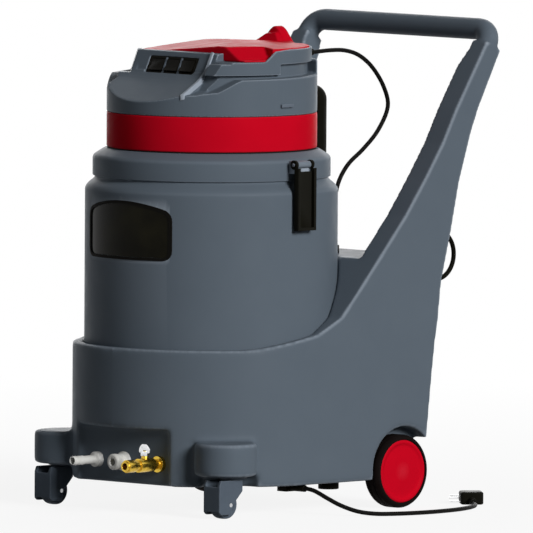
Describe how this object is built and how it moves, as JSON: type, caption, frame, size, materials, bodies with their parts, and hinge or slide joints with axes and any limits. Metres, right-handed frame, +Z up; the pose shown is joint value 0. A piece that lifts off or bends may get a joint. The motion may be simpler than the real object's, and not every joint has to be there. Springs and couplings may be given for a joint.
{
  "type": "carpet cleaner machine",
  "caption": "Wheeled carpet cleaner: a recovery drum with a sight window in a tank base, a lift-off motor head with rocker switches, swing latches, front valves and a push handle.",
  "frame": {"origin": "on the floor, under the middle of the machine's box (its free mains cord and plug left out)", "axes": "+Z up, -Y to the casters and the fitting panel in front, +Y to the push handle, +X to the user's right-hand side when facing the front panel from the handle, where the mains cord leaves"},
  "size_m": [0.6277, 0.7779, 0.843],
  "materials": {
    "slate_plastic": "moulded slate-grey polyethylene, fine satin grain",
    "red_plastic": "moulded red plastic, half gloss",
    "black_plastic": "moulded black plastic, satin",
    "smoked_plastic": "dark smoked pane, glossy",
    "rubber": "soft black rubber",
    "tyre": "black rubber tyre",
    "cord_rubber": "black rubber sheath",
    "steel": "zinc-plated steel",
    "chrome": "polished chrome plate",
    "white_plastic": "pale acetal",
    "brass": "machined brass",
    "ball_plastic": "cream float ball"
  },
  "bodies": {
    "base": {"base": "slate_plastic", "drum": "slate_plastic", "latch_bracket_left": "slate_plastic", "latch_bracket_right": "slate_plastic", "hook_ledge": "slate_plastic", "bay_cover": "slate_plastic", "filler_neck": "black_plastic", "pump": "black_plastic", "plug": "black_plastic", "cord_hook": "black_plastic", "cord_gland": "black_plastic", "lead_socket": "black_plastic", "sight_window": "smoked_plastic", "window_gasket": "rubber", "mains_cord": "cord_rubber", "pump_lead": "cord_rubber", "caster_mount_left": "steel", "caster_mount_right": "steel", "rear_axle": "steel", "pump_motor": "steel", "plug_pins": "chrome", "drain_nipple": "white_plastic", "solution_coupler": "white_plastic", "valve_body": "brass"},
    "head": {"head_ring": "red_plastic", "head_seal": "rubber", "motor_plate": "black_plastic", "motor_cover": "slate_plastic", "top_lid": "red_plastic", "switch_bezel": "black_plastic", "keeper_left": "slate_plastic", "keeper_right": "slate_plastic", "inlet_flange": "black_plastic", "vacuum_motor_left": "steel", "vacuum_motor_right": "steel", "float_cage": "black_plastic", "lead_gland": "black_plastic"},
    "rocker_left": {"rocker_left": "black_plastic"},
    "rocker_mid": {"rocker_mid": "black_plastic"},
    "rocker_right": {"rocker_right": "black_plastic"},
    "latch_left": {"latch_left": "black_plastic"},
    "latch_right": {"latch_right": "black_plastic"},
    "inlet": {"inlet_elbow": "black_plastic"},
    "float": {"float_ball": "ball_plastic"},
    "fan_left": {"fan_left": "chrome"},
    "fan_right": {"fan_right": "chrome"},
    "caster_left": {"caster_fork_left": "slate_plastic", "caster_axle_left": "steel"},
    "caster_right": {"caster_fork_right": "slate_plastic", "caster_axle_right": "steel"},
    "caster_wheel_left": {"caster_wheel_left": "rubber"},
    "caster_wheel_right": {"caster_wheel_right": "rubber"},
    "wheel_left": {"tyre_left": "tyre", "wheel_disc_left": "red_plastic"},
    "wheel_right": {"tyre_right": "tyre", "wheel_disc_right": "red_plastic"},
    "valve_lever": {"valve_lever": "chrome"},
    "filler_cap": {"filler_cap": "black_plastic"},
    "drain_cap": {"drain_cap": "black_plastic"}
  },
  "joints": [
    {"name": "head_lift", "type": "slide", "parent": "base", "child": "head", "axis": [0, 0, 1], "range_m": [0, 0.3], "deforming": ["pump_lead"]},
    {"name": "rocker_left_tilt", "type": "hinge", "parent": "head", "child": "rocker_left", "pos_m": [-0.037, -0.1957, 0.77132], "axis": [1, 0, 0], "range_deg": [0, 10]},
    {"name": "rocker_mid_tilt", "type": "hinge", "parent": "head", "child": "rocker_mid", "pos_m": [0, -0.1957, 0.77132], "axis": [1, 0, 0], "range_deg": [0, 10]},
    {"name": "rocker_right_tilt", "type": "hinge", "parent": "head", "child": "rocker_right", "pos_m": [0.037, -0.1957, 0.77132], "axis": [1, 0, 0], "range_deg": [0, 10]},
    {"name": "latch_right_swing", "type": "hinge", "parent": "base", "child": "latch_right", "pos_m": [0.223, -0.1, 0.607], "axis": [0, -1, 0], "range_deg": [0, 190]},
    {"name": "latch_left_swing", "type": "hinge", "parent": "base", "child": "latch_left", "pos_m": [-0.223, -0.1, 0.607], "axis": [0, 1, 0], "range_deg": [0, 190]},
    {"name": "inlet_swivel", "type": "hinge", "parent": "head", "child": "inlet", "pos_m": [0, 0.1, 0.701], "axis": [0, 1, 0], "range_deg": [-90, 90]},
    {"name": "float_rise", "type": "slide", "parent": "head", "child": "float", "axis": [0, 0, 1], "range_m": [0, 0.019]},
    {"name": "fan_left_spin", "type": "hinge", "parent": "head", "child": "fan_left", "pos_m": [-0.078, -0.1, 0.66], "axis": [0, 0, 1], "continuous": true},
    {"name": "caster_left_swivel", "type": "hinge", "parent": "base", "child": "caster_left", "pos_m": [-0.209, -0.253, 0.062], "axis": [0, 0, 1], "continuous": true},
    {"name": "caster_wheel_left_roll", "type": "hinge", "parent": "caster_left", "child": "caster_wheel_left", "pos_m": [-0.209, -0.275, 0.025], "axis": [1, 0, 0], "continuous": true},
    {"name": "wheel_left_roll", "type": "hinge", "parent": "base", "child": "wheel_left", "pos_m": [-0.22, 0.131, 0.064], "axis": [1, 0, 0], "continuous": true},
    {"name": "fan_right_spin", "type": "hinge", "parent": "head", "child": "fan_right", "pos_m": [0.078, -0.1, 0.66], "axis": [0, 0, 1], "continuous": true},
    {"name": "caster_right_swivel", "type": "hinge", "parent": "base", "child": "caster_right", "pos_m": [0.209, -0.253, 0.062], "axis": [0, 0, 1], "continuous": true},
    {"name": "caster_wheel_right_roll", "type": "hinge", "parent": "caster_right", "child": "caster_wheel_right", "pos_m": [0.209, -0.275, 0.025], "axis": [1, 0, 0], "continuous": true},
    {"name": "wheel_right_roll", "type": "hinge", "parent": "base", "child": "wheel_right", "pos_m": [0.22, 0.131, 0.064], "axis": [1, 0, 0], "continuous": true},
    {"name": "valve_turn", "type": "hinge", "parent": "base", "child": "valve_lever", "pos_m": [0.082, -0.34, 0.105], "axis": [0, 0, 1], "range_deg": [0, 90]},
    {"name": "filler_cap_turn", "type": "hinge", "parent": "base", "child": "filler_cap", "pos_m": [-0.092, 0.168, 0.44], "axis": [0, 0, 1], "continuous": true},
    {"name": "drain_cap_turn", "type": "hinge", "parent": "base", "child": "drain_cap", "pos_m": [0.181, 0.011, 0.047], "axis": [0, 0, 1], "continuous": true}
  ]
}
